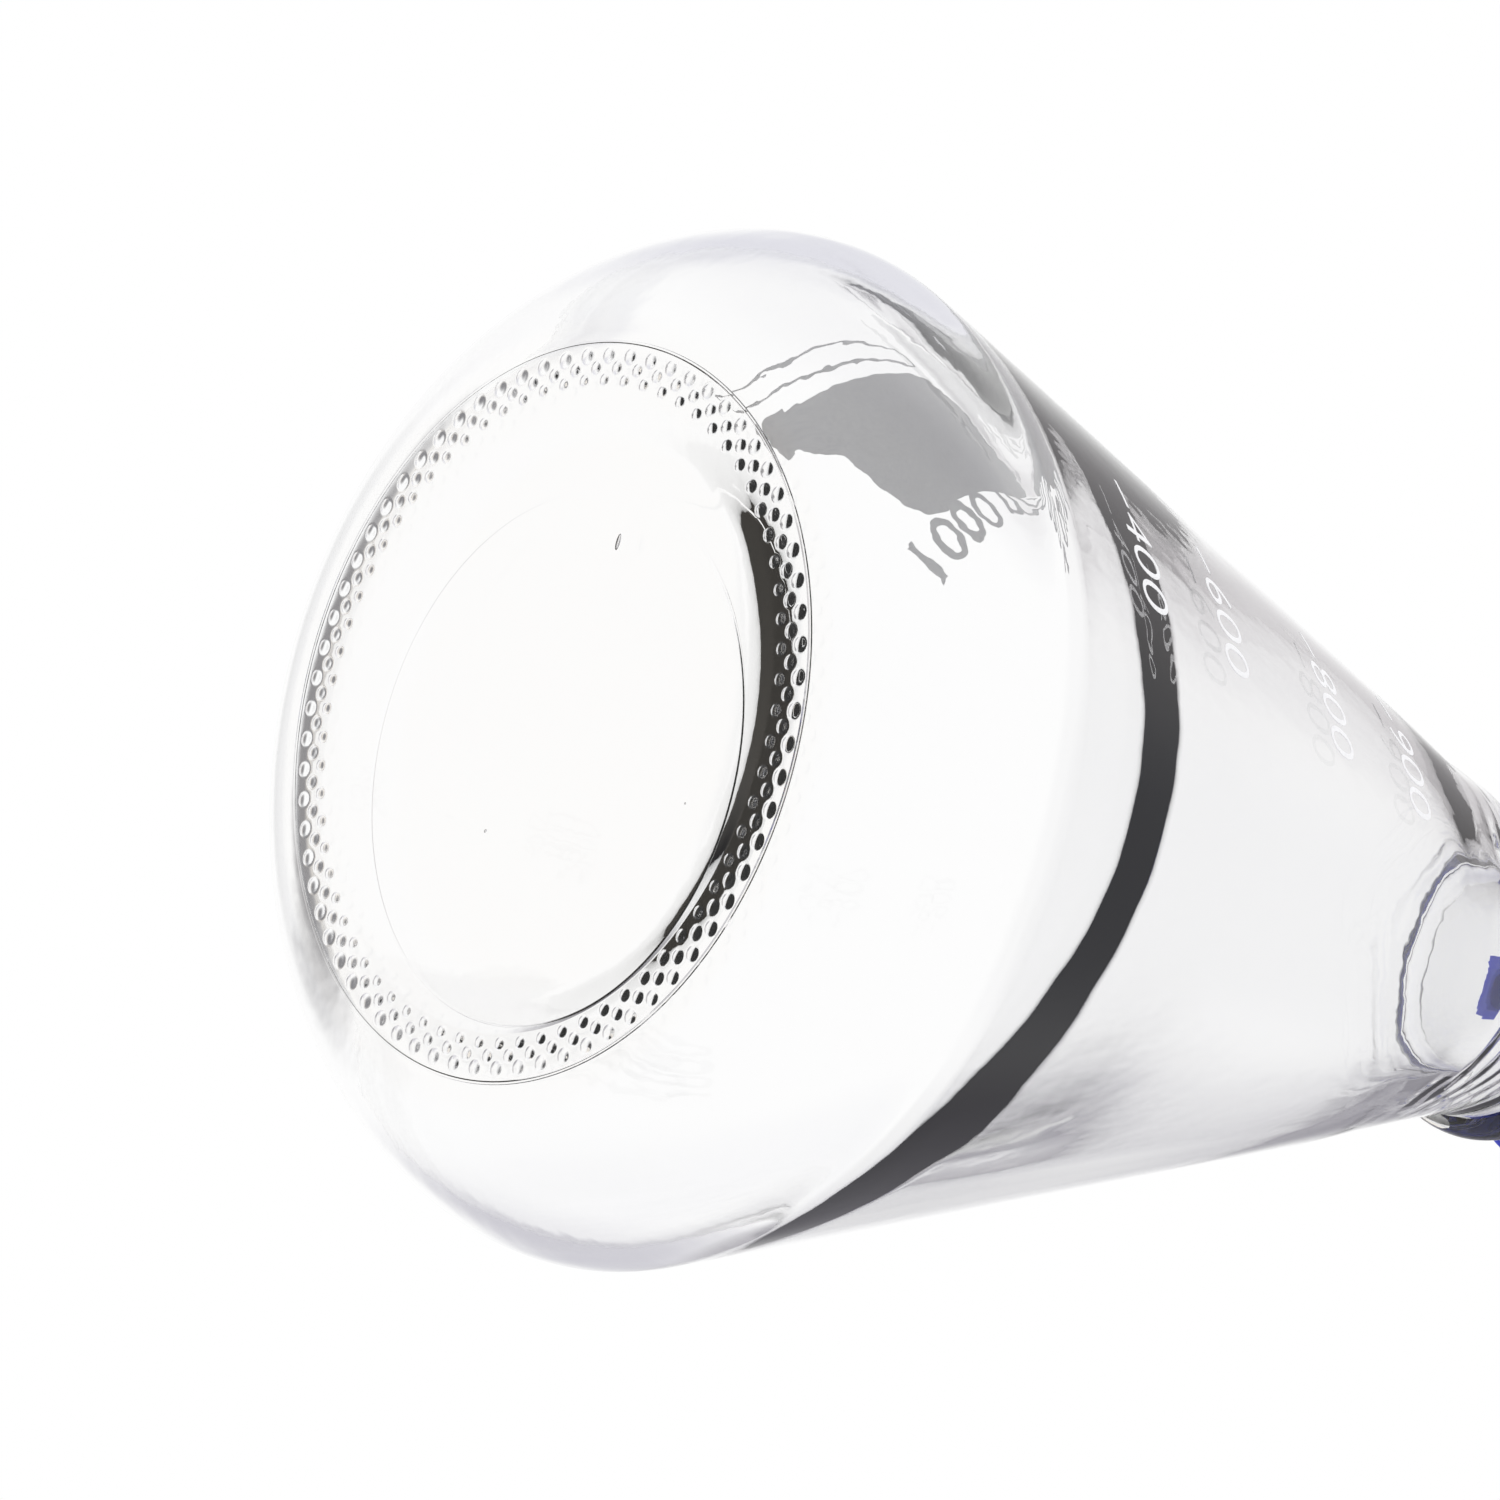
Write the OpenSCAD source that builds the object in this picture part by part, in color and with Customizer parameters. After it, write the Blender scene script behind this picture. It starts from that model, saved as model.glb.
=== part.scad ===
// Conical laboratory flask with a screw neck, for about one litre.
// A moulded glass flask stands on a stippled bearing ring. A plastic pouring ring
// clips over its lip, and a ribbed screw cap closes it with a soft sealing disc.
// Millimetres, +Z up the axis, with the origin where the axis meets the table.

/* [Foot] */
// Outside diameter of the flat bearing ring
foot_d = 92.4; // [84:0.2:100]
// Width of the flat bearing ring
foot_w = 6.2; // [5.6:0.1:8]
// Height of the hollow underside at its centre
push_up = 3; // [1.5:0.1:5]
// Bumps in each row of the stippling
stipple_n = 70; // [40:1:72]
// How far the bumps stand below the bearing ring
stipple_h = 0.4; // [0.2:0.05:0.6]
// Diameter of a bump in the outer row
stipple_outer_d = 2.1; // [1.4:0.1:2.4]
// Diameter of a bump in the middle row
stipple_middle_d = 1.8; // [1.2:0.1:2.2]
// Diameter of a bump in the inner row
stipple_inner_d = 1.6; // [1:0.1:2]
// Distance from the edge of the bearing ring to the outer row
stipple_inset = 1.95; // [1.8:0.05:2.2]
// Distance from row to row
stipple_pitch = 1.55; // [1.4:0.05:1.7]
// Width of the fine ridge where the two mould halves meet the bottom plate
seam_w = 0.5; // [0.3:0.05:0.7]
// Height of that ridge
seam_h = 0.25; // [0.1:0.05:0.3]

/* [Body] */
// Outside diameter where the heel runs into the cone
body_d = 130.8; // [120:0.2:142]
// Height where the heel runs into the cone
heel_h = 23.9; // [20:0.1:30]
// Pull of the heel curve along the bearing ring
heel_foot_pull = 10.8; // [6:0.1:14]
// Pull of the heel curve along the cone
heel_cone_pull = 7.1; // [4:0.1:12]
// Slope of the cone's wall from upright, in degrees
cone_angle = 16.2; // [14:0.1:19]
// Thickness of the cone's wall at the heel
wall = 2.4; // [1.8:0.1:3.2]
// Thickness of the cone's wall at the neck
wall_top = 4.4; // [3:0.1:6]
// Thickness of the glass over the bearing ring
heel_t = 4.6; // [3.6:0.1:6]
// Thickness of the glass at the centre of the bottom
floor_t = 7; // [4:0.1:9]

/* [Neck] */
// Outside diameter of the neck at the root of its thread
neck_d = 41.8; // [38:0.1:46]
// Diameter of the bore
bore_d = 31; // [28:0.1:34]
// Length of the curve from the cone into the neck
shoulder_h = 5; // [3:0.1:5.5]
// Length of the curve from the cone into the bore
throat_h = 8; // [4:0.1:10]
// Radius of the round bead under the thread
bead_r = 3; // [2:0.1:3]
// How far the bead stands out from the neck
bead_proud = 2.6; // [1.5:0.1:2.8]
// Height of the bead's centre above the foot of the neck
bead_rise = 7.9; // [7.5:0.1:12]
// Height of the lip above the bead's centre
finish_h = 44; // [42:0.1:50]
// Height of the plain land that the pouring ring clips over
lip_h = 6; // [5:0.1:8]
// How far the land is set in from the neck
lip_step = 1.3; // [0.8:0.1:1.8]
// Radius of the lip's edges
lip_round = 1; // [0.6:0.1:1.4]

/* [Pouring ring] */
// Thickness of the pouring ring's walls
ring_t = 1.3; // [1:0.1:1.6]
// Depth of its outer skirt below the lip
ring_outer_h = 4.6; // [3:0.1:5]
// Depth of its inner skirt below the lip
ring_inner_h = 4; // [3:0.1:6]
// Thickness of its top
ring_top_t = 1.4; // [1:0.1:2]
// How far the pouring edge reaches past the skirt
ring_edge = 0.7; // [0.3:0.1:0.9]
// Gap between the pouring ring and the glass
ring_gap = 0.3; // [0.2:0.05:0.4]

/* [Sealing disc] */
// Thickness of the sealing disc
seal_t = 2; // [1:0.1:3]
// Gap above and below the sealing disc
seal_gap = 0.2; // [0.1:0.05:0.4]
// Gap between the sealing disc's rim and the cap
seal_rim_gap = 0.4; // [0.2:0.05:0.8]

/* [Screw cap] */
// Room for the thread between the neck and the cap
thread_room = 2; // [1.8:0.1:3]
// Depth of the cap's skirt below the lip
skirt_h = 22; // [20:0.1:26]
// Thickness of the cap's skirt at the root of its ribs
cap_t = 2.4; // [1.8:0.1:3]
// Thickness of the cap's top
cap_top_t = 2.2; // [1.6:0.1:3]
// Number of gripping ribs
rib_n = 60; // [30:1:72]
// Radius of a rib's round back
rib_r = 0.8; // [0.5:0.05:1]
// Height of the plain band below the ribs
band_h = 3; // [2:0.1:5]
// Radius of the cap's upper edge
cap_round = 2.4; // [1.5:0.1:3]
// Depth of the shallow dish in the cap's top
dish_h = 0.5; // [0.2:0.1:0.8]
// Width of the raised rim round that dish
dish_rim_w = 4.4; // [3.5:0.1:7]

/* [Hidden] */
$fn = 96;

foot_r = foot_d / 2;
foot_in_r = foot_r - foot_w;
heel_r = body_d / 2;
neck_r = neck_d / 2;
bore_r = bore_d / 2;
side = wall / cos(cone_angle); // the wall at the heel, measured level
neck_z = heel_h + (heel_r - neck_r) / tan(cone_angle);
inner_slope = tan(cone_angle) + (wall_top - wall) / cos(cone_angle) / (neck_z - heel_h);
inner_angle = atan(inner_slope);
throat_z = heel_h + (heel_r - side - bore_r) / inner_slope;
bead_z = neck_z + bead_rise;
lip_z = bead_z + finish_h;
lip_r = neck_r - lip_step;
inner_heel_h = heel_h + wall * sin(cone_angle);
inner_foot_r = foot_in_r + 2;

ring_top_z = lip_z + ring_gap + ring_top_t;
ring_out_r = lip_r + ring_gap + ring_t;
ring_bore_r = bore_r - ring_gap - ring_t;
seal_z = ring_top_z + seal_gap;
cap_in_r = neck_r + thread_room;
cap_r = cap_in_r + cap_t;
cap_z = lip_z - skirt_h;
cap_in_z = seal_z + seal_t + seal_gap;
cap_top_z = cap_in_z + cap_top_t;

curve_steps = 14; // steps in each free curve
arc_steps = 8; // steps in each small round edge

// Radius of the cone's outer face at a height
function cone_r(z) = heel_r - (z - heel_h) * tan(cone_angle);

// Radius of the cone's inner face at a height; the wall thickens towards the neck
function inner_cone_r(z) = heel_r - side - (z - heel_h) * inner_slope;

// Points of a cubic curve from a to d, pulled towards b and c
function curve(a, b, c, d) = [
    for (i = [0:curve_steps])
        let (t = i / curve_steps, u = 1 - t)
            u * u * u * a + 3 * u * u * t * b + 3 * u * t * t * c + t * t * t * d
];

// Points of a bend from a to c with its corner at b
function bend(a, b, c) = curve(a, (a + 2 * b) / 3, (c + 2 * b) / 3, c);

// Points of an arc about a centre, from one angle to another
function arc(centre, r, from, to) = [
    for (i = [0:arc_steps])
        let (angle = from + (to - from) * i / arc_steps)
            centre + r * [cos(angle), sin(angle)]
];

// Outer face, from the centre of the underside up to the neck's foot
outer_face = concat(
    curve(
        [0, push_up], [foot_in_r / 2, push_up],
        [foot_in_r * 0.8, stipple_h + 0.2 * push_up], [foot_in_r, stipple_h]
    ),
    curve(
        [foot_r, stipple_h], [foot_r + heel_foot_pull, stipple_h],
        [heel_r + heel_cone_pull * sin(cone_angle), heel_h - heel_cone_pull * cos(cone_angle)],
        [heel_r, heel_h]
    ),
    bend(
        [cone_r(neck_z - shoulder_h), neck_z - shoulder_h], [neck_r, neck_z],
        [neck_r, neck_z + shoulder_h]
    )
);

// Neck and lip: up the outside, over the lip and into the bore
finish_face = concat(
    [[neck_r, lip_z - lip_h], [lip_r, lip_z - lip_h + lip_step]],
    arc([lip_r - lip_round, lip_z - lip_round], lip_round, 0, 90),
    arc([bore_r + lip_round, lip_z - lip_round], lip_round, 90, 180)
);

// Inner face, from the throat down to the centre of the floor
inner_face = concat(
    bend(
        [bore_r, throat_z + throat_h], [bore_r, throat_z],
        [inner_cone_r(throat_z - throat_h), throat_z - throat_h]
    ),
    curve(
        [inner_cone_r(inner_heel_h), inner_heel_h],
        [inner_cone_r(inner_heel_h) + heel_cone_pull * sin(inner_angle), inner_heel_h - heel_cone_pull],
        [inner_foot_r + heel_foot_pull, stipple_h + heel_t],
        [inner_foot_r, stipple_h + heel_t]
    ),
    curve(
        [inner_foot_r - 0.5, stipple_h + heel_t], [inner_foot_r * 0.92, stipple_h + heel_t],
        [inner_foot_r * 0.81, push_up + floor_t], [0, push_up + floor_t]
    )
);

// A ring of round bumps whose tips touch the table
module stipple_row(r, d, turn) {
    ball_r = (d * d / 4 + stipple_h * stipple_h) / (2 * stipple_h);
    for (i = [0:stipple_n - 1]) {
        rotate([0, 0, (i + turn) * 360 / stipple_n])
            translate([r, 0, stipple_h])
                rotate_extrude($fn = 24)
                    bump_section(ball_r, d / 2);
    }
}

// Half section of one bump: a shallow cap of a ball on a short root in the glass
module bump_section(ball_r, r) {
    intersection() {
        translate([0, ball_r - stipple_h])
            circle(r = ball_r, $fn = 96);
        translate([0, -stipple_h])
            square([r, 2 * stipple_h]);
    }
}

module stipple() {
    outer_row_r = foot_r - stipple_inset;
    stipple_row(outer_row_r, stipple_outer_d, 0);
    stipple_row(outer_row_r - stipple_pitch, stipple_middle_d, 1 / 2);
    stipple_row(outer_row_r - 2 * stipple_pitch, stipple_inner_d, 0);
}

// The fine ridge that the mould's bottom plate leaves round the bearing ring
module foot_seam() {
    rotate_extrude()
        translate([foot_r - seam_w, stipple_h - seam_h])
            square([seam_w, 2 * seam_h]);
}

module glass_flask() {
    color([0.83, 0.89, 0.92, 0.45]) {
        rotate_extrude()
            polygon(concat(outer_face, finish_face, inner_face));
        rotate_extrude()
            translate([neck_r + bead_proud - bead_r, bead_z])
                circle(r = bead_r, $fn = 48);
        stipple();
        foot_seam();
    }
}

module pouring_ring() {
    top = ring_top_z;
    land = lip_z + ring_gap;
    color([0.16, 0.24, 0.62])
        rotate_extrude()
            polygon([
                [ring_bore_r, top - ring_t / 2],
                [ring_bore_r, lip_z - ring_inner_h],
                [ring_bore_r + ring_t / 2, lip_z - ring_inner_h],
                [ring_bore_r + ring_t, land - ring_t],
                [ring_bore_r + ring_t, land],
                [ring_out_r - ring_t, land],
                [ring_out_r - ring_t, lip_z - ring_outer_h],
                [ring_out_r, lip_z - ring_outer_h],
                [ring_out_r, land - ring_edge],
                [ring_out_r + ring_edge, top - ring_edge / 2],
                [ring_out_r + ring_edge, top],
                [ring_bore_r + ring_t / 2, top]
            ]);
}

module sealing_disc() {
    color([0.93, 0.94, 0.94])
        translate([0, 0, seal_z])
            cylinder(r = cap_in_r - seal_rim_gap, h = seal_t);
}

// Outer form of the cap before it is hollowed, as a half section
module cap_section() {
    grip_r = cap_r + rib_r;
    dish_r = grip_r - dish_rim_w;
    polygon(concat(
        [[0, cap_z], [grip_r, cap_z]],
        arc([grip_r - cap_round, cap_top_z - cap_round], cap_round, 0, 90),
        [[dish_r, cap_top_z], [dish_r - dish_h, cap_top_z - dish_h], [0, cap_top_z - dish_h]]
    ));
}

// Outline of the ribbed skirt
module rib_outline() {
    circle(r = cap_r);
    for (i = [0:rib_n - 1]) {
        rotate(i * 360 / rib_n)
            translate([cap_r, 0])
                circle(r = rib_r, $fn = 24);
    }
}

module screw_cap() {
    color([0.16, 0.24, 0.62])
        difference() {
            intersection() {
                rotate_extrude()
                    cap_section();
                union() {
                    translate([0, 0, cap_z])
                        cylinder(r = cap_r + rib_r, h = band_h);
                    translate([0, 0, cap_z])
                        linear_extrude(cap_top_z - cap_z)
                            rib_outline();
                }
            }
            translate([0, 0, cap_z - 1])
                cylinder(r = cap_in_r, h = cap_in_z - cap_z + 1);
        }
}

glass_flask();
pouring_ring();
sealing_disc();
screw_cap();
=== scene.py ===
import math

import bmesh
import bpy
from mathutils import Matrix, Vector, noise


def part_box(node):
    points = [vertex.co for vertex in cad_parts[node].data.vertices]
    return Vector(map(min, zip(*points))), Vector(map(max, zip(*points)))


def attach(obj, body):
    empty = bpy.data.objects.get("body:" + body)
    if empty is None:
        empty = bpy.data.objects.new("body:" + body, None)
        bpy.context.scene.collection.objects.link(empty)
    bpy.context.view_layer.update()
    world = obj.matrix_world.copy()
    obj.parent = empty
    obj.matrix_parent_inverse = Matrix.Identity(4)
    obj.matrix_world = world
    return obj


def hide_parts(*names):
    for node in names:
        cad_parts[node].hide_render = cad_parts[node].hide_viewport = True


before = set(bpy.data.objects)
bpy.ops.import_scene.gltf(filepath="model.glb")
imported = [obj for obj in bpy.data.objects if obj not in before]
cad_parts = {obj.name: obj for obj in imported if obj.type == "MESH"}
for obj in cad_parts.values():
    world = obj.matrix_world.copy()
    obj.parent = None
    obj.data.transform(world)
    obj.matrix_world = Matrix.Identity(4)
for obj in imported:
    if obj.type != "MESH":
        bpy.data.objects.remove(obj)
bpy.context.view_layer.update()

mm = 0.001


# sRGB hex to the linear colour that a shader wants
def toLinear(code):
    parts = [int(code[i:i + 2], 16) / 255 for i in (1, 3, 5)]
    return [v / 12.92 if v <= 0.04045 else ((v + 0.055) / 1.055) ** 2.4 for v in parts] + [1.0]


# adds one node: plain settings by name, socket values and links by socket name or number
def addNode(tree, kind, values={}, links={}, **settings):
    node = tree.nodes.new(kind)
    for key, value in settings.items():
        setattr(node, key, value)
    for key, value in values.items():
        node.inputs[key].default_value = value
    for key, source in links.items():
        tree.links.new(source, node.inputs[key])
    return node


# an empty node material and its tree
def newMaterial(name):
    material = bpy.data.materials.new(name)
    material.use_nodes = True
    material.node_tree.nodes.clear()
    return material, material.node_tree


# points of a cubic curve from a to d, pulled towards b and c
def freeCurve(a, b, c, d, steps):
    points = []
    for i in range(steps + 1):
        t = i / steps
        weights = ((1 - t) ** 3, 3 * (1 - t) ** 2 * t, 3 * (1 - t) * t * t, t ** 3)
        points.append(tuple(sum(w * p[k] for w, p in zip(weights, (a, b, c, d))) for k in (0, 1)))
    return points


# points of a bend from a to c with its corner at b
def bend(a, b, c, steps):
    pulls = [((p[0] + 2 * b[0]) / 3, (p[1] + 2 * b[1]) / 3) for p in (a, c)]
    return freeCurve(a, pulls[0], pulls[1], c, steps)


# points of an arc, angles in degrees
def arc(centre, radius, start, end, steps):
    angles = [math.radians(start + (end - start) * i / steps) for i in range(steps + 1)]
    return [(centre[0] + radius * math.cos(t), centre[1] + radius * math.sin(t)) for t in angles]


# evenly spaced points between two ends, without the ends themselves
def between(a, b, steps):
    return [tuple(a[k] + (b[k] - a[k]) * i / steps for k in (0, 1)) for i in range(1, steps)]


def smooth(t):
    t = min(max(t, 0), 1)
    return t * t * (3 - 2 * t)


# turns an outline of (radius, height) points in mm about the axis; one that doesn't start and
# end on the axis is closed first
def lathe(outline, steps):
    form = bmesh.new()
    verts = [form.verts.new((r * mm, 0, z * mm)) for r, z in outline]
    for a, b in zip(verts, verts[1:]):
        form.edges.new((a, b))
    if outline[0][0] > 0 or outline[-1][0] > 0:
        form.edges.new((verts[-1], verts[0]))
    bmesh.ops.spin(
        form, geom=form.verts[:] + form.edges[:], cent=(0, 0, 0), axis=(0, 0, 1),
        angle=math.tau, steps=steps, use_merge=True
    )
    bmesh.ops.remove_doubles(form, verts=form.verts, dist=0.002 * mm)
    bmesh.ops.recalc_face_normals(form, faces=form.faces)
    return form


# makes the finished object; edges sharper than the given angle stay crisp
def finishPiece(name, form, material, body, crease=50):
    mesh = bpy.data.meshes.new(name)
    for face in form.faces:
        face.smooth = True
    form.to_mesh(mesh)
    form.free()
    mesh.set_sharp_from_angle(angle=math.radians(crease))
    mesh.materials.append(material)
    piece = bpy.data.objects.new(name, mesh)
    bpy.context.scene.collection.objects.link(piece)
    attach(piece, body)
    print(name, "made,", sum(len(p.vertices) - 2 for p in mesh.polygons), "triangles")
    return piece


# share of a helical thread's height at one point, from 0 at its root to 1 at its crest
def threadShare(point, thread):
    turnsRound = (math.atan2(point.y, point.x) % math.tau) / math.tau
    turnsUp = (point.z / mm - thread["start"]) / thread["pitch"]
    along = round(turnsUp - turnsRound) + turnsRound
    runOut = smooth(min(along, thread["turns"] - along) / thread["runOut"])
    across = abs(turnsUp - along) * thread["pitch"] / thread["halfWidth"]
    return runOut * max(0, 1 - across ** 2) ** 0.6


# Borosilicate glass, blown in a mould: clear and nearly colourless, with fire-polished faces.
# The mould's chill leaves a faint ripple about 5 mm across, drawn out along the axis, so the
# edges that are seen through the wall waver instead of running true
def borosilicateGlass():
    material, tree = newMaterial("moulded_borosilicate_glass")
    place = addNode(tree, "ShaderNodeTexCoord").outputs["Object"]
    rippleMap = addNode(tree, "ShaderNodeMapping", {"Scale": (1, 1, 0.35)}, {"Vector": place})
    ripple = addNode(
        tree, "ShaderNodeTexNoise", {"Scale": 200, "Detail": 2, "Roughness": 0.5},
        {"Vector": rippleMap.outputs[0]}
    )
    bump = addNode(
        tree, "ShaderNodeBump", {"Strength": 0.36, "Distance": 0.1 * mm},
        {"Height": ripple.outputs["Fac"]}
    )
    shader = addNode(
        tree, "ShaderNodeBsdfPrincipled",
        {
            "Base Color": toLinear("#FEFEFE"), "Roughness": 0.0, "IOR": 1.473,
            "Transmission Weight": 1.0,
        },
        {"Normal": bump.outputs[0]}
    )
    addNode(tree, "ShaderNodeOutputMaterial", {}, {"Surface": shader.outputs[0]})
    return material


# White ceramic enamel, screen printed and fired on: matt and opaque, with a slightly uneven
# film. Its pinholes are finer than the 0.4 mm that they are drawn at here, so that they show
def firedEnamel():
    material, tree = newMaterial("fired_white_enamel")
    place = addNode(tree, "ShaderNodeTexCoord").outputs["Object"]
    film = addNode(
        tree, "ShaderNodeTexNoise", {"Scale": 2600, "Detail": 2, "Roughness": 0.5},
        {"Vector": place}
    )
    tone = addNode(tree, "ShaderNodeValToRGB", {}, {"Fac": film.outputs["Fac"]})
    tone.color_ramp.elements[0].position = 0.3
    tone.color_ramp.elements[0].color = toLinear("#EFEFF2")
    tone.color_ramp.elements[1].position = 0.62
    tone.color_ramp.elements[1].color = toLinear("#F7F7F9")
    bump = addNode(
        tree, "ShaderNodeBump", {"Strength": 0.25, "Distance": 0.02 * mm},
        {"Height": film.outputs["Fac"]}
    )
    shader = addNode(
        tree, "ShaderNodeBsdfPrincipled", {"Roughness": 0.55, "IOR": 1.5},
        {"Base Color": tone.outputs["Color"], "Normal": bump.outputs[0]}
    )
    addNode(tree, "ShaderNodeOutputMaterial", {}, {"Surface": shader.outputs[0]})
    return material


# Blue polypropylene, injection moulded: satin and slightly waxy, lets a little light in. The
# mould's spark texture is drawn coarser than it is, at 0.7 mm, and the colour drifts over 17 mm
def mouldedPolypropylene():
    material, tree = newMaterial("moulded_blue_polypropylene")
    place = addNode(tree, "ShaderNodeTexCoord").outputs["Object"]
    grain = addNode(
        tree, "ShaderNodeTexNoise", {"Scale": 1400, "Detail": 2, "Roughness": 0.55},
        {"Vector": place}
    )
    flow = addNode(
        tree, "ShaderNodeTexNoise", {"Scale": 60, "Detail": 2, "Roughness": 0.5},
        {"Vector": place}
    )
    tone = addNode(tree, "ShaderNodeValToRGB", {}, {"Fac": flow.outputs["Fac"]})
    tone.color_ramp.elements[0].position = 0.3
    tone.color_ramp.elements[0].color = toLinear("#3240BC")
    tone.color_ramp.elements[1].position = 0.7
    tone.color_ramp.elements[1].color = toLinear("#3B4AC8")
    sheen = addNode(
        tree, "ShaderNodeMapRange", {"To Min": 0.3, "To Max": 0.42},
        {"Value": grain.outputs["Fac"]}
    )
    bump = addNode(
        tree, "ShaderNodeBump", {"Strength": 0.3, "Distance": 0.03 * mm},
        {"Height": grain.outputs["Fac"]}
    )
    shader = addNode(
        tree, "ShaderNodeBsdfPrincipled",
        {
            "IOR": 1.49, "Subsurface Weight": 0.6, "Subsurface Radius": (0.5, 0.6, 1.0),
            "Subsurface Scale": 3 * mm,
        },
        {
            "Base Color": tone.outputs["Color"], "Roughness": sheen.outputs["Result"],
            "Normal": bump.outputs[0],
        }
    )
    addNode(tree, "ShaderNodeOutputMaterial", {}, {"Surface": shader.outputs[0]})
    return material


# Clear silicone sheet, die cut: milky, soft to the eye, with a faint bloom in patches of 5 mm
def clearSilicone():
    material, tree = newMaterial("die_cut_clear_silicone")
    place = addNode(tree, "ShaderNodeTexCoord").outputs["Object"]
    bloom = addNode(
        tree, "ShaderNodeTexNoise", {"Scale": 220, "Detail": 3, "Roughness": 0.6},
        {"Vector": place}
    )
    haze = addNode(
        tree, "ShaderNodeMapRange", {"To Min": 0.35, "To Max": 0.55},
        {"Value": bloom.outputs["Fac"]}
    )
    shader = addNode(
        tree, "ShaderNodeBsdfPrincipled",
        {
            "Base Color": toLinear("#EDEFF0"), "IOR": 1.41, "Transmission Weight": 0.55,
            "Subsurface Weight": 0.3, "Subsurface Scale": 2 * mm,
        },
        {"Roughness": haze.outputs["Result"]}
    )
    addNode(tree, "ShaderNodeOutputMaterial", {}, {"Surface": shader.outputs[0]})
    return material


flask = {
    "steps": 210,
    "footR": 46.2, "footInR": 40.0, "footZ": 0.4, "ringWidth": 5.9,
    "pushUp": 3.0, "pushCurve": 1.13,
    "seamWidth": 0.5, "seamHeight": 0.25, "seamSlope": 0.05,
    "heelZ": 23.9, "heelSwell": 0.245, "heelFootPull": 10.8, "heelConePull": 7.1,
    "innerHeel": 5, "innerConePull": 13, "innerFootPull": 8.8,
    "coneAngle": 16.2, "wall": 2.4, "wallTop": 4.4, "heelGlass": 4.6, "floorGlass": 7.0,
    "neckR": 20.9, "boreR": 15.5, "shoulder": 5.0, "throat": 24.0,
    "beadR": 3.0, "beadProud": 2.6, "beadRise": 7.9, "finish": 44.0,
    "lip": 6.0, "lipStep": 1.3, "lipRound": 1.0,
}
# rows of the stippling: radius, bump diameter, share of a bump's pitch that the row is turned
bumps = {
    "count": 70, "height": 0.4, "dome": 0.85, "turn": 1.44,
    "rows": ((44.25, 2.1, 0.0), (42.70, 1.8, 0.5), (41.15, 1.6, 0.0)),
}
# the mark that the parison mould's bottom leaves on the underside, a little off the axis
baffle = {"r": 33.2, "centre": (1.1, 6.1), "step": 0.12, "width": 0.5}
# inner face of the floor: a level rim over the bearing ring, then a knee up to the flat middle;
# the knee is steep on the side at "towards" and flatter beyond "steepTo" degrees from there
knee = {
    "rim": 4, "level": 0.5, "inwards": 8.6, "rise": 2.3, "flatInwards": 11.6,
    "pulls": ((4.7, 0.25), (3.1, 1.35), (2.7, 1.26)),
    "towards": 10, "steepTo": 25, "steepFade": 45, "farSide": 160, "farFade": 60,
    "middleR": 5, "middleFade": 27, "flatter": 0.35,
}
# the blown heel is thin, and the wall above it starts thicker at an uneven wave round the body;
# past "growFrom" degrees the wave is broader and sits higher, and below "fadeZ" it runs out
settle = {
    "extra": 2.1, "width": 12.0, "middle": 25.25, "swing": (20.3, 3.35), "towards": 5.0,
    "growFrom": 25, "growSpan": 45, "broader": 0.5, "lift": 2.2, "fadeZ": 21, "fadeSpan": 11,
    "raggedWaves": (3.2, 12), "raggedRow": (1.7, 4.1), "raggedSize": (1.6, 0.9),
    "drift": 0.12, "driftWaves": 38, "driftStretch": 0.4,
    "lowZ": 11, "lowSpan": 12, "highZ": 138, "highSpan": 70, "topZ": 62,
}
# uneven rings and sags in the throat, where the blown body meets the pressed neck
throatRipple = {
    "lowZ": 136, "lowSpan": 16, "highZ": 181, "highSpan": 10, "pitch": 4.6, "depth": 0.17,
    "sway": 1.6, "swayWaves": 1.3, "swayRow": 5.2, "sag": 1.6, "sagWaves": 1.1, "sagHeight": 30,
}
neckThread = {
    "start": 212.0, "pitch": 4.0, "turns": 2.2, "runOut": 0.12, "halfWidth": 1.3, "height": 1.45,
}
# small bubbles left in the floor, drawn out along the radius
seeds = (
    {"place": (10.1, -19.9, 4.6), "r": 0.35, "length": 2.2},
    {"place": (-14.0, 12.0, 5.4), "r": 0.2, "length": 0.5},
    {"place": (22.0, 15.5, 5.2), "r": 0.15, "length": 0.3},
)

tanCone = math.tan(math.radians(flask["coneAngle"]))
cosCone = math.cos(math.radians(flask["coneAngle"]))
sinCone = math.sin(math.radians(flask["coneAngle"]))
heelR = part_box("glass_flask")[1].x / mm - flask["heelSwell"]
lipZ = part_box("glass_flask")[1].z / mm
beadZ = lipZ - flask["finish"]
neckZ = beadZ - flask["beadRise"]
rimR = flask["footInR"] + knee["rim"]
rimZ = flask["footZ"] + flask["heelGlass"]
levelWall = flask["wall"] / cosCone  # the wall's thickness, measured level
innerSlope = tanCone + (flask["wallTop"] - flask["wall"]) / cosCone / (neckZ - flask["heelZ"])


def coneR(z):
    return heelR - (z - flask["heelZ"]) * tanCone


def innerConeR(z):
    return heelR - levelWall - (z - flask["heelZ"]) * innerSlope


def underZ(r):
    share = max(0, 1 - (r / flask["footInR"]) ** 2)
    return flask["footZ"] + (flask["pushUp"] - flask["footZ"]) * share ** flask["pushCurve"]


heelCurve = freeCurve(
    (flask["footR"], flask["footZ"]), (flask["footR"] + flask["heelFootPull"], flask["footZ"]),
    (heelR + flask["heelConePull"] * sinCone, flask["heelZ"] - flask["heelConePull"] * cosCone),
    (heelR, flask["heelZ"]), 26
)


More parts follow.
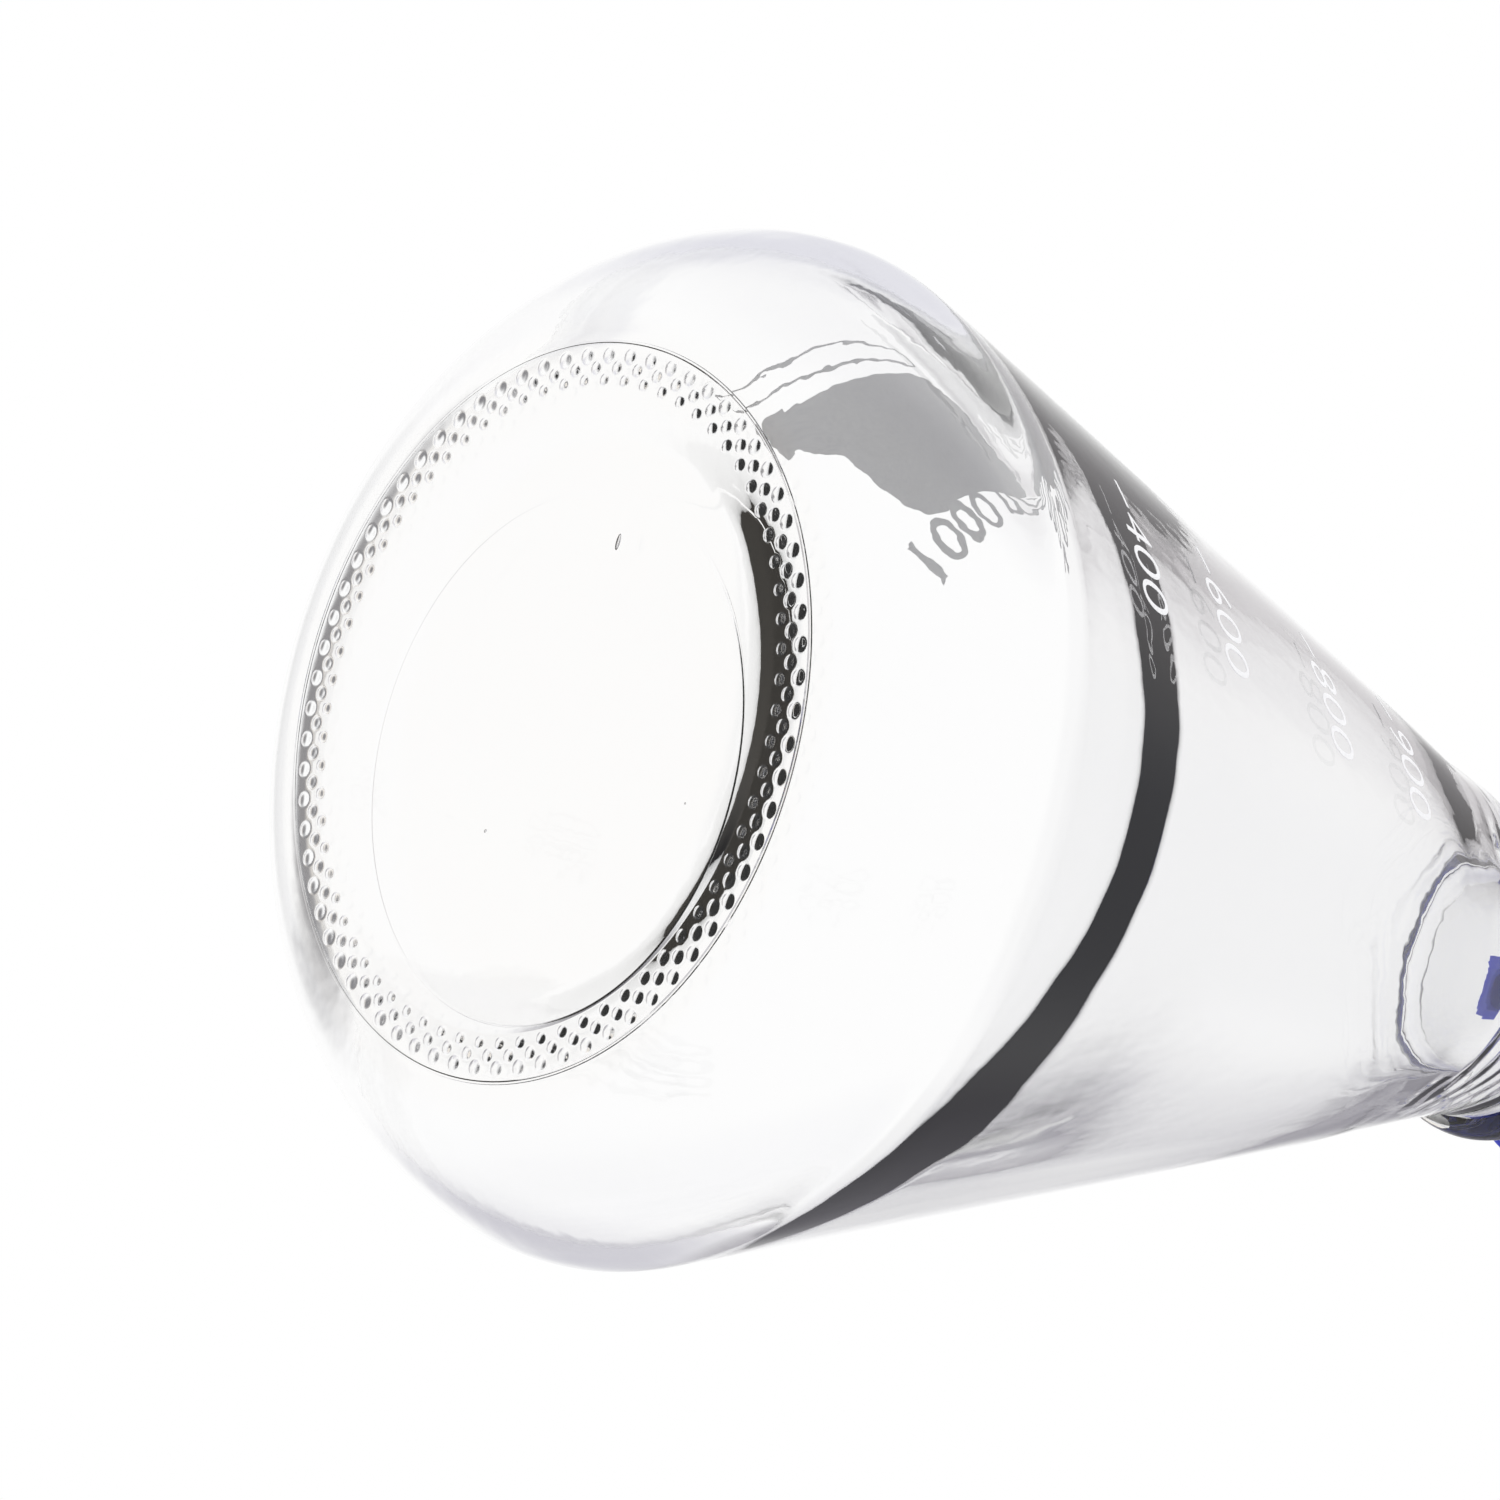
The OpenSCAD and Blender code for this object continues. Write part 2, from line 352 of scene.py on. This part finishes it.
# outer radius of the glass at a height, for the heel and the cone
def outerR(z):
    if z >= flask["heelZ"]:
        return coneR(z)
    for (lowR, lowZ), (highR, highZ) in zip(heelCurve, heelCurve[1:]):
        if z <= highZ:
            return lowR + (highR - lowR) * (z - lowZ) / (highZ - lowZ)


# outer face of the glass, from the centre of the underside round to the mouth
def outerOutline():
    f = flask
    under = [0, 5, 10, 15, 20, 24, 28, 31]
    # the points lie close together across the baffle mark
    under += [baffle["r"] + baffle["width"] * k for k in (-0.7, -0.5, -0.25, 0, 0.25, 0.5, 0.7)]
    under += [35, 36.5, 38, 39, 39.6]
    points = [(r, underZ(r)) for r in under]
    points += [(f["footInR"] + f["ringWidth"] * i / 5, f["footZ"]) for i in range(6)]
    seamR = f["footR"] - f["seamWidth"]
    seamZ = f["footZ"] - f["seamHeight"]
    points += [(seamR + f["seamSlope"], seamZ), (f["footR"] - f["seamSlope"], seamZ)]
    points += heelCurve
    shoulderLow = (coneR(neckZ - f["shoulder"]), neckZ - f["shoulder"])
    shoulderHigh = (f["neckR"], neckZ + f["shoulder"] - 0.3)
    points += between((heelR, f["heelZ"]), shoulderLow, 14)
    points += bend(shoulderLow, (f["neckR"], neckZ), shoulderHigh, 10)
    beadSpan = math.degrees(math.acos((f["beadR"] - f["beadProud"]) / f["beadR"]))
    beadCentre = (f["neckR"] + f["beadProud"] - f["beadR"], beadZ)
    points += arc(beadCentre, f["beadR"], -beadSpan, beadSpan, 14)
    threadFoot = (f["neckR"], neckThread["start"] - 2)
    landFoot = (f["neckR"], lipZ - f["lip"])
    points += between(points[-1], threadFoot, 5) + [threadFoot]
    points += between(threadFoot, landFoot, 38) + [landFoot]
    lipR = f["neckR"] - f["lipStep"]
    points += [(lipR, lipZ - f["lip"] + f["lipStep"])]
    points += arc((lipR - f["lipRound"], lipZ - f["lipRound"]), f["lipRound"], 0, 90, 6)
    points += arc((f["boreR"] + f["lipRound"], lipZ - f["lipRound"]), f["lipRound"], 90, 180, 6)
    return points


# inner face of the glass, from the mouth down to the centre of the floor
def innerOutline(mouth):
    f = flask
    throatZ = f["heelZ"] + (heelR - levelWall - f["boreR"]) / innerSlope
    throatTop = (f["boreR"], throatZ + f["throat"])
    throatLow = (innerConeR(throatZ - f["throat"]), throatZ - f["throat"])
    points = between(mouth, throatTop, 6) + bend(throatTop, (f["boreR"], throatZ), throatLow, 40)
    settleTop = (innerConeR(settle["topZ"]), settle["topZ"])
    heelTop = (innerConeR(f["heelZ"] + f["innerHeel"]), f["heelZ"] + f["innerHeel"])
    points += between(throatLow, settleTop, 12) + [settleTop]
    points += between(settleTop, heelTop, 33)
    points += freeCurve(
        heelTop,
        (heelTop[0] + f["innerConePull"] * sinCone, heelTop[1] - f["innerConePull"] * cosCone),
        (rimR + f["innerFootPull"], rimZ), (rimR, rimZ), 22
    )
    floorZ = f["pushUp"] + f["floorGlass"]
    kneeR, kneeZ = rimR - knee["inwards"], rimZ + knee["rise"]
    (rimOut, rimUp), (lowOut, lowDown), (highIn, highUp) = knee["pulls"]
    points += freeCurve(
        (rimR - knee["level"], rimZ), (kneeR + rimOut, rimZ + rimUp),
        (kneeR + lowOut, kneeZ - lowDown), (kneeR, kneeZ), 14
    )
    points += freeCurve(
        (kneeR, kneeZ), (kneeR - highIn, kneeZ + highUp),
        (kneeR - knee["flatInwards"], floorZ), (0, floorZ), 16
    )[1:]
    return points


# smooth noise round the axis; another row gives another pattern
def roundNoise(angle, waves, row):
    return noise.noise(Vector((waves * math.cos(angle), waves * math.sin(angle), row)))


# how far the settle wave has grown broader and higher, from 0 to 1
def settleGrown(angle):
    return smooth((math.degrees(angle) - settle["growFrom"]) / settle["growSpan"])


# height of the settle wave round the body
def settleZ(angle):
    turned = angle - math.radians(settle["towards"])
    first, second = settle["swing"]
    height = settle["middle"] + first * math.cos(turned) + second * math.cos(2 * turned)
    height += settle["lift"] * settleGrown(angle)
    for waves, row, size in zip(
        settle["raggedWaves"], settle["raggedRow"], settle["raggedSize"]
    ):
        height += size * roundNoise(angle, waves, row)
    return height


# one dome of the nearest bump in each row, on the flat of the bearing ring
def raiseBumps(co, angle):
    pitch = math.tau / bumps["count"]
    for rowR, bumpD, turned in bumps["rows"]:
        start = math.radians(bumps["turn"]) + turned * pitch
        nearest = start + round((angle - start) / pitch) * pitch
        centre = Vector((math.cos(nearest), math.sin(nearest))) * rowR * mm
        share = (co.xy - centre).length / (bumpD * mm / 2)
        co.z -= bumps["height"] * mm * max(0, 1 - share ** 2) ** bumps["dome"]


# a low ridge in the underside, which shifts with the ground inside it
def raiseBaffleMark(co, r):
    reach = min(1, (flask["footInR"] - r) / (flask["footInR"] - baffle["r"]))
    rise = max(0, 1 - ((r - baffle["r"]) / (baffle["width"] / 2)) ** 2)
    co.z += rise * baffle["step"] * mm
    co.xy += Vector(baffle["centre"]) * reach * mm


def rippleThroat(co, r, z, angle):
    t = throatRipple
    share = smooth((z - t["lowZ"]) / t["lowSpan"]) * smooth((t["highZ"] - z) / t["highSpan"])
    sway = roundNoise(angle, t["swayWaves"], t["swayRow"])
    sag = roundNoise(angle, t["sagWaves"], z / t["sagHeight"])
    wave = math.sin(math.tau * (z / t["pitch"] + sway * t["sway"]))
    co.xy *= 1 - share * (t["depth"] * wave + t["sag"] * sag) / r


def flattenKnee(co, r, angle):
    k = knee
    aside = abs(math.degrees(angle) - k["towards"])
    flat = smooth((aside - k["steepTo"]) / k["steepFade"])
    flat = flat * smooth((k["farSide"] - aside) / k["farFade"])
    flat = flat * smooth((r - k["middleR"]) / k["middleFade"])
    co.z -= (co.z - rimZ * mm) * k["flatter"] * flat


# moves the inner wall in above the settle wave, and lets it drift a little everywhere
def thickenWall(co, r, z, angle):
    s = settle
    grown = settleGrown(angle)
    waveZ = settleZ(angle)
    broad = 1 + s["broader"] * grown
    share = smooth((waveZ - s["lift"] * grown - s["fadeZ"]) / s["fadeSpan"])
    high = smooth((z - waveZ) / s["width"] / broad + 0.5) * broad * share
    taper = smooth((s["highZ"] - z) / s["highSpan"]) * smooth((z - s["lowZ"]) / s["lowSpan"])
    drift = noise.noise(Vector((co.x, co.y, co.z * s["driftStretch"])) * s["driftWaves"])
    co.xy *= 1 - (s["extra"] * high + s["drift"] * drift) * taper / r


def addSeeds(form):
    for seed in seeds:
        x, y, z = seed["place"]
        place = Matrix.Translation((x * mm, y * mm, z * mm))
        turn = Matrix.Rotation(math.atan2(y, x), 4, "Z")
        size = Matrix.Diagonal((seed["length"] / 2, seed["r"], seed["r"], 1))
        made = bmesh.ops.create_icosphere(
            form, subdivisions=2, radius=mm, matrix=place @ turn @ size
        )
        # a bubble's faces look into it, because the glass is outside
        faces = list({face for vert in made["verts"] for face in vert.link_faces})
        bmesh.ops.reverse_faces(form, faces=faces)


def makeFlask(material):
    outer = outerOutline()
    form = lathe(outer + innerOutline(outer[-1]), flask["steps"])
    hair = 0.001 * mm
    inR, outR = flask["footInR"] * mm, (flask["footR"] - flask["seamWidth"]) * mm
    ringZ = flask["footZ"] * mm
    ring = [
        face for face in form.faces
        if abs(face.calc_center_median().z - ringZ) < hair
        and inR < face.calc_center_median().xy.length < outR
    ]
    ringEdges = list({edge for face in ring for edge in face.edges})
    bmesh.ops.subdivide_edges(form, edges=ringEdges, cuts=5, use_grid_fill=True)
    neckFoot, neckTop = beadZ + flask["beadR"], lipZ - flask["lip"]
    underTop = flask["pushUp"] + 0.5
    for vert in form.verts:
        co = vert.co
        r, z, angle = co.xy.length / mm, co.z / mm, math.atan2(co.y, co.x)
        if abs(co.z - ringZ) < hair and inR - hair < co.xy.length < outR + hair:
            raiseBumps(co, angle)
        elif z < underTop and r < flask["footInR"]:
            raiseBaffleMark(co, r)
        elif neckFoot * mm < co.z < neckTop * mm and r > flask["neckR"] - 0.1:
            co.xy *= 1 + threadShare(co, neckThread) * neckThread["height"] / r
        elif throatRipple["lowZ"] < z < throatRipple["highZ"]:
            rippleThroat(co, r, z, angle)
        elif underTop < z < settle["lowZ"] and r < rimR:
            flattenKnee(co, r, angle)
        elif settle["lowZ"] < z < settle["highZ"] and r < outerR(z) - levelWall / 2:
            thickenWall(co, r, z, angle)
    addSeeds(form)
    piece = finishPiece("flaskGlass", form, material, "flask", crease=75)
    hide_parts("glass_flask")


# the graduation: each number with its tick's height on the flask. "film" is where the enamel's
# two faces lie off the glass, and "facet" the widest piece that is laid on the cone flat
prints = {
    "towards": -17.5, "digitHeight": 7.1, "stroke": -0.012, "film": (-0.02, 0.04), "facet": 1.5,
    "numbers": (("400", 48.5), ("600", 70.5), ("800", 100.5), ("900", 124.0)),
    "tick": (4.5, 0.6), "tickGap": 8.3,
}
# the label on the side: a patch to write on, an outlined box under it, the capacity over it
label = {
    "towards": -89.0, "patch": (35.0, 27.0), "patchZ": 66.5, "patchRound": 6.0,
    "box": (33.0, 4.6), "boxZ": 48.9, "boxTowards": -90.3, "boxLine": 0.5, "boxRound": 1.2,
    "capacity": "1000 ml", "capacityHeight": 9.3, "capacityStroke": 0.012, "capacityZ": 83.5,
    "capacityTowards": -94.5,
}


# lays a flat form, drawn in mm about its own centre, on the outer face of the cone
def wrapOnCone(form, towards, z):
    left = min(v.co.x for v in form.verts)
    right = max(v.co.x for v in form.verts)
    cuts = int((right - left) / prints["facet"]) + 1
    for i in range(1, cuts):
        bmesh.ops.bisect_plane(
            form, geom=form.verts[:] + form.edges[:] + form.faces[:], dist=0.0001,
            plane_co=(left + (right - left) * i / cuts, 0, 0), plane_no=(1, 0, 0)
        )
    raised = bmesh.ops.extrude_face_region(form, geom=form.faces[:])["geom"]
    top = {g for g in raised if isinstance(g, bmesh.types.BMVert)}
    low, high = prints["film"]
    for vert in form.verts:
        across, along = vert.co.x, vert.co.y
        out = high if vert in top else low
        height = z + along * cosCone
        angle = math.radians(towards) + across / coneR(height)
        r = coneR(height) + out * cosCone
        vert.co = Vector((r * math.cos(angle), r * math.sin(angle), height + out * sinCone)) * mm
    bmesh.ops.recalc_face_normals(form, faces=form.faces)


# a flat word or number, centred, as a form in mm; its digits are 0.73 of the font's size high
def flatText(body, height, stroke):
    curve = bpy.data.curves.new(body, "FONT")
    curve.body = body
    curve.size = height / 0.73
    curve.align_x = "CENTER"
    curve.align_y = "CENTER"
    curve.offset = stroke * height
    curve.resolution_u = 6
    holder = bpy.data.objects.new(body, curve)
    bpy.context.scene.collection.objects.link(holder)
    ready = holder.evaluated_get(bpy.context.evaluated_depsgraph_get())
    flat = bpy.data.meshes.new_from_object(ready)
    form = bmesh.new()
    form.from_mesh(flat)
    bmesh.ops.remove_doubles(form, verts=form.verts, dist=0.001)
    middle = (max(v.co.y for v in form.verts) + min(v.co.y for v in form.verts)) / 2
    bmesh.ops.translate(form, verts=form.verts, vec=(0, -middle, 0))
    bpy.data.objects.remove(holder)
    bpy.data.meshes.remove(flat)
    bpy.data.curves.remove(curve)
    return form


# a flat rectangle with round corners, as a form in mm
def flatPlate(width, height, rounding):
    form = bmesh.new()
    bmesh.ops.create_grid(form, x_segments=1, y_segments=1, size=0.5)
    bmesh.ops.scale(form, vec=(width, height, 1), verts=form.verts)
    if rounding:
        bmesh.ops.bevel(
            form, geom=form.verts[:], offset=rounding, segments=8, profile=0.5,
            affect="VERTICES", material=-1
        )
    return form


# lays a flat form on the glass and makes it a piece of the flask
def printOnGlass(name, form, towards, z, material):
    wrapOnCone(form, towards, z)
    finishPiece(name, form, material, "flask")


def makeGraduation(material):
    for number, z in prints["numbers"]:
        digits = flatText(number, prints["digitHeight"], prints["stroke"])
        printOnGlass("number" + number, digits, prints["towards"], z, material)
        width, height = prints["tick"]
        aside = math.degrees((prints["tickGap"] + width / 2) / coneR(z))
        tick = flatPlate(width, height, 0)
        printOnGlass("tick" + number, tick, prints["towards"] - aside, z, material)


def makeLabel(material):
    patch = flatPlate(*label["patch"], label["patchRound"])
    printOnGlass("markingPatch", patch, label["towards"], label["patchZ"], material)
    box = flatPlate(*label["box"], label["boxRound"])
    inner = box.faces[:]
    bmesh.ops.inset_region(
        box, faces=inner, thickness=label["boxLine"], use_boundary=True, use_even_offset=True
    )
    bmesh.ops.delete(box, geom=inner, context="FACES")
    printOnGlass("labelFrame", box, label["boxTowards"], label["boxZ"], material)
    capacity = flatText(label["capacity"], label["capacityHeight"], label["capacityStroke"])
    printOnGlass(
        "capacityMark", capacity, label["capacityTowards"], label["capacityZ"], material
    )


pouringRing = {
    "steps": 160, "wall": 1.3, "gap": 0.3, "edge": 0.7, "outerSkirt": 4.6, "innerSkirt": 4.0,
    "mouthRound": 0.65, "edgeRound": 0.35, "skirtRound": 0.3,
}


def makePouringRing(material):
    p = pouringRing
    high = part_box("pouring_ring")[1]
    top, edgeR = high.z / mm, high.x / mm
    outR = edgeR - p["edge"]
    wall = p["wall"]
    boreR = flask["boreR"] - p["gap"] - wall
    land = lipZ + p["gap"]
    small = p["edgeRound"]
    skirtZ = lipZ - p["outerSkirt"] + small
    # round the mouth and the drip edge, then down and up the outer skirt and down the inner one
    outline = arc((boreR + p["mouthRound"], top - p["mouthRound"]), p["mouthRound"], 180, 90, 5)
    outline += arc((edgeR - small, top - small), small, 90, -20, 6)
    outline += [(outR, land - p["edge"])]
    outline += arc((outR - small, skirtZ), small, 0, -90, 4)
    outline += arc((outR - wall + small, skirtZ), small, -90, -180, 4)
    outline += [(outR - wall, land), (boreR + wall, land), (boreR + wall, land - wall)]
    innerZ = lipZ - p["innerSkirt"] + p["skirtRound"]
    outline += arc((boreR + p["skirtRound"], innerZ), p["skirtRound"], 0, -180, 6)
    form = lathe(outline, p["steps"])
    piece = finishPiece("pouringRing", form, material, "ring", crease=40)
    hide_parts("pouring_ring")


sealingDisc = {"steps": 120, "edgeRound": 0.3, "rings": 6}


def makeSealingDisc(material):
    low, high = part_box("sealing_disc")
    r = high.x / mm
    bottom, top = low.z / mm, high.z / mm
    small, rings = sealingDisc["edgeRound"], sealingDisc["rings"]
    outline = [(0, bottom)] + [(r * i / rings, bottom) for i in range(1, rings)]
    outline += arc((r - small, bottom + small), small, -90, 0, 4)
    outline += arc((r - small, top - small), small, 0, 90, 4)
    outline += [(r * i / rings, top) for i in range(rings - 1, 0, -1)] + [(0, top)]
    form = lathe(outline, sealingDisc["steps"])
    piece = finishPiece("sealingDisc", form, material, "disc", crease=40)
    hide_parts("sealing_disc")


# groove and gate mark are given as (inwards, upwards) and (radius, upwards)
screwCap = {
    "ribs": 60, "ribR": 0.8, "stepsPerRib": 10, "skirt": 2.4, "band": 3.0,
    "footRound": 0.4, "topRound": 2.4, "ribFoot": 0.6, "ribStep": 1.6,
    "groove": ((0, -0.3), (0.1, -0.08), (0.12, 0), (0, 0.25)),
    "dish": 0.5, "dishRim": 4.4, "dishSlope": 0.8, "dishRound": 0.5, "dishFoot": 0.6,
    "gateMark": ((6.0, 0), (5.6, -0.12), (5.0, -0.12), (1.4, -0.12), (1.1, 0.1), (0, 0.1)),
    "discPlay": 0.2, "ceilingRound": 0.5, "leadIn": 0.6,
}
capThread = {
    "start": 210.0, "pitch": 4.0, "turns": 2.4, "runOut": 0.12, "halfWidth": 0.65, "height": 1.3,
}


def makeScrewCap(material):
    c = screwCap
    low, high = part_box("screw_cap")
    gripR = high.x / mm
    bottom, top = low.z / mm, high.z / mm
    skirtR = gripR - c["ribR"]
    boreR = skirtR - c["skirt"]
    bandTop = bottom + c["band"]
    # up the outside: foot, smooth band, groove, ribs
    outline = arc((gripR - c["footRound"], bottom + c["footRound"]), c["footRound"], -90, 0, 4)
    outline += [(gripR - inwards, bandTop + upwards) for inwards, upwards in c["groove"]]
    heights = [bandTop + c["ribFoot"] + i * c["ribStep"] for i in range(14)]
    outline += [(gripR, z) for z in heights if z < top - c["topRound"]]
    outline += arc((gripR - c["topRound"], top - c["topRound"]), c["topRound"], 0, 90, 10)
    # across the top: a shallow dish with the moulding gate's mark in its middle
    dishR, dishZ = gripR - c["dishRim"], top - c["dish"]
    outline += arc((dishR + c["dishSlope"], top - c["dishRound"]), c["dishRound"], 90, 135, 3)
    outline += [(dishR, dishZ), (dishR - c["dishFoot"], dishZ)]
    outline += [(r, dishZ + upwards) for r, upwards in c["gateMark"]]
    # down the inside, with points close together where the thread is
    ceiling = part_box("sealing_disc")[1].z / mm + c["discPlay"]
    small = c["ceilingRound"]
    outline += [(0, ceiling), (boreR - 2 * small, ceiling)]
    outline += arc((boreR - small, ceiling - small), small, 90, 0, 3)
    threadLow = capThread["start"] - 1.5
    outline += between((boreR, ceiling - small), (boreR, threadLow), 60)
    outline += [(boreR, threadLow), (boreR, bottom + c["leadIn"]), (boreR + c["leadIn"], bottom)]
    form = lathe(outline, c["ribs"] * c["stepsPerRib"])
    period = math.tau / c["ribs"]
    for vert in form.verts:
        co = vert.co
        r, z = co.xy.length / mm, co.z / mm
        if r > skirtR - 0.2 and z > bandTop - 0.05:
            angle = math.atan2(co.y, co.x)
            aside = abs(angle - round(angle / period) * period) * skirtR
            ribOut = math.sqrt(max(0, c["ribR"] ** 2 - aside ** 2))
            co.xy *= min(r, skirtR + ribOut) / r
        elif boreR - 0.1 < r < boreR + 0.1 and z < ceiling - 1:
            co.xy *= 1 - threadShare(co, capThread) * capThread["height"] / r
    piece = finishPiece("screwCap", form, material, "cap", crease=35)
    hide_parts("screw_cap")


glass = borosilicateGlass()
enamel = firedEnamel()
bluePlastic = mouldedPolypropylene()
silicone = clearSilicone()
makeFlask(glass)
makeGraduation(enamel)
makeLabel(enamel)
makePouringRing(bluePlastic)
makeSealingDisc(silicone)
makeScrewCap(bluePlastic)
print("object made")


studio = {
    "floorR": 1.2, "floorTone": "#F4F4F4", "floorSolidR": 0.35, "floorGone": 0.95,
    "floorDrop": 0.05 * mm, "diffuseLevel": 0.82,
    # parts of the studio that are less lit: direction, half angle and softness in degrees, tone
    "zones": (
        {"azimuth": 152, "elevation": 20, "half": 18, "soft": 10, "tone": "#CECDD4"},
        {"azimuth": 150, "elevation": 60, "half": 18, "soft": 9, "tone": "#A09EA5"},
        {"azimuth": -162, "elevation": -5, "half": 13, "soft": 8, "tone": "#807F82"},
        {"azimuth": -161, "elevation": -42, "half": 24, "soft": 9, "tone": "#F9F2E8"},
        {"azimuth": -108, "elevation": 68, "half": 19, "soft": 8, "tone": "#CECBCD"},
        {"azimuth": 170, "elevation": 84, "half": 14, "soft": 8, "tone": "#A9A8AE"},
        {"azimuth": -112, "elevation": 20, "half": 20, "soft": 10, "tone": "#E2E2E9"},
        {"azimuth": 22, "elevation": 76, "half": 17, "soft": 12, "tone": "#B4B4BA"},
    ),
    "lamps": (
        {"azimuth": -50, "elevation": 20, "distance": 1.2, "size": (0.5, 0.8), "power": 4},
        {"azimuth": 110, "elevation": 45, "distance": 1.4, "size": (0.6, 0.6), "power": 3},
    ),
}


def pointTo(azimuth, elevation):
    a, e = math.radians(azimuth), math.radians(elevation)
    return Vector((math.cos(e) * math.cos(a), math.cos(e) * math.sin(a), math.sin(e)))


# Matt painted board: a plain pale floor that fades into the white round it, and isn't there
# for anything that looks up from below
def makeFloor():
    form = bmesh.new()
    bmesh.ops.create_circle(form, cap_ends=True, segments=96, radius=studio["floorR"])
    bmesh.ops.translate(form, verts=form.verts, vec=(0, 0, -studio["floorDrop"]))
    bmesh.ops.recalc_face_normals(form, faces=form.faces)
    mesh = bpy.data.meshes.new("floor")
    if form.faces[:][0].normal.z < 0:
        bmesh.ops.reverse_faces(form, faces=form.faces)
    form.to_mesh(mesh)
    form.free()
    material, tree = newMaterial("matt_painted_board")
    place = addNode(tree, "ShaderNodeTexCoord").outputs["Object"]
    reach = addNode(tree, "ShaderNodeVectorMath", {}, {0: place}, operation="LENGTH")
    fade = addNode(
        tree, "ShaderNodeMapRange",
        {
            "From Min": studio["floorSolidR"], "From Max": studio["floorR"] * studio["floorGone"],
        },
        {"Value": reach.outputs["Value"]}, interpolation_type="SMOOTHSTEP"
    )
    behind = addNode(tree, "ShaderNodeNewGeometry").outputs["Backfacing"]
    gone = addNode(
        tree, "ShaderNodeMath", {}, {0: fade.outputs["Result"], 1: behind}, operation="MAXIMUM"
    )
    paint = addNode(tree, "ShaderNodeBsdfDiffuse", {"Color": toLinear(studio["floorTone"])})
    clear = addNode(tree, "ShaderNodeBsdfTransparent")
    mix = addNode(
        tree, "ShaderNodeMixShader", {},
        {0: gone.outputs[0], 1: paint.outputs[0], 2: clear.outputs[0]}
    )
    addNode(tree, "ShaderNodeOutputMaterial", {}, {"Surface": mix.outputs[0]})
    mesh.materials.append(material)
    floor = bpy.data.objects.new("floor", mesh)
    floor.visible_transmission = False
    floor.visible_glossy = False
    bpy.context.scene.collection.objects.link(floor)


# white all round for what the camera sees; mirrors and glass also see the less lit parts
def makeWorld():
    world = bpy.data.worlds.new("studio")
    world.use_nodes = True
    tree = world.node_tree
    tree.nodes.clear()
    direction = addNode(tree, "ShaderNodeTexCoord").outputs["Generated"]
    seen = addNode(tree, "ShaderNodeRGB").outputs[0]
    seen.default_value = (1, 1, 1, 1)
    for zone in studio["zones"]:
        facing = addNode(
            tree, "ShaderNodeVectorMath", {1: pointTo(zone["azimuth"], zone["elevation"])},
            {0: direction}, operation="DOT_PRODUCT"
        )
        share = addNode(
            tree, "ShaderNodeMapRange",
            {
                "From Min": math.cos(math.radians(zone["half"] + zone["soft"])),
                "From Max": math.cos(math.radians(zone["half"] - zone["soft"])),
            },
            {"Value": facing.outputs["Value"]}, interpolation_type="SMOOTHSTEP"
        )
        seen = addNode(
            tree, "ShaderNodeMix", {7: toLinear(zone["tone"])},
            {0: share.outputs["Result"], 6: seen}, data_type="RGBA"
        ).outputs[2]
    rays = addNode(tree, "ShaderNodeLightPath").outputs
    mirrored = addNode(
        tree, "ShaderNodeMath", {}, {0: rays["Is Glossy Ray"], 1: rays["Is Transmission Ray"]},
        operation="MAXIMUM"
    )
    lightTone = addNode(
        tree, "ShaderNodeMix", {6: [studio["diffuseLevel"]] * 3 + [1]},
        {0: mirrored.outputs[0], 7: seen}, data_type="RGBA"
    )
    tone = addNode(
        tree, "ShaderNodeMix", {7: (1, 1, 1, 1)},
        {0: rays["Is Camera Ray"], 6: lightTone.outputs[2]}, data_type="RGBA"
    )
    sky = addNode(tree, "ShaderNodeBackground", {"Strength": 1.0}, {"Color": tone.outputs[2]})
    addNode(tree, "ShaderNodeOutputWorld", {}, {"Surface": sky.outputs[0]})
    bpy.context.scene.world = world


def makeLamps():
    middle = Vector((0, 0, 0.1))
    for number, lamp in enumerate(studio["lamps"]):
        light = bpy.data.lights.new(f"softbox{number}", "AREA")
        light.shape = "RECTANGLE"
        light.size, light.size_y = lamp["size"]
        light.energy = lamp["power"]
        away = pointTo(lamp["azimuth"], lamp["elevation"])
        holder = bpy.data.objects.new(light.name, light)
        holder.location = middle + away * lamp["distance"]
        holder.rotation_euler = away.to_track_quat("Z", "Y").to_euler()
        holder.visible_glossy = False
        holder.visible_transmission = False
        bpy.context.scene.collection.objects.link(holder)


# place and lens in mm, turn in degrees
view = {
    "place": (533.77, 213.27, -488.90), "turn": (-163.459, -45.352, -0.672), "lens": 149.064,
    "filmWidth": 36,
}


def makeCamera():
    lens = bpy.data.cameras.new("camera")
    lens.lens = view["lens"]
    lens.sensor_width = view["filmWidth"]
    lens.clip_start = 0.01
    camera = bpy.data.objects.new("camera", lens)
    camera.location = Vector(view["place"]) * mm
    camera.rotation_euler = [math.radians(v) for v in view["turn"]]
    bpy.context.scene.collection.objects.link(camera)
    bpy.context.scene.camera = camera


makeFloor()
makeWorld()
makeLamps()
makeCamera()
bpy.context.scene.view_settings.view_transform = "Standard"
print("studio and camera made")
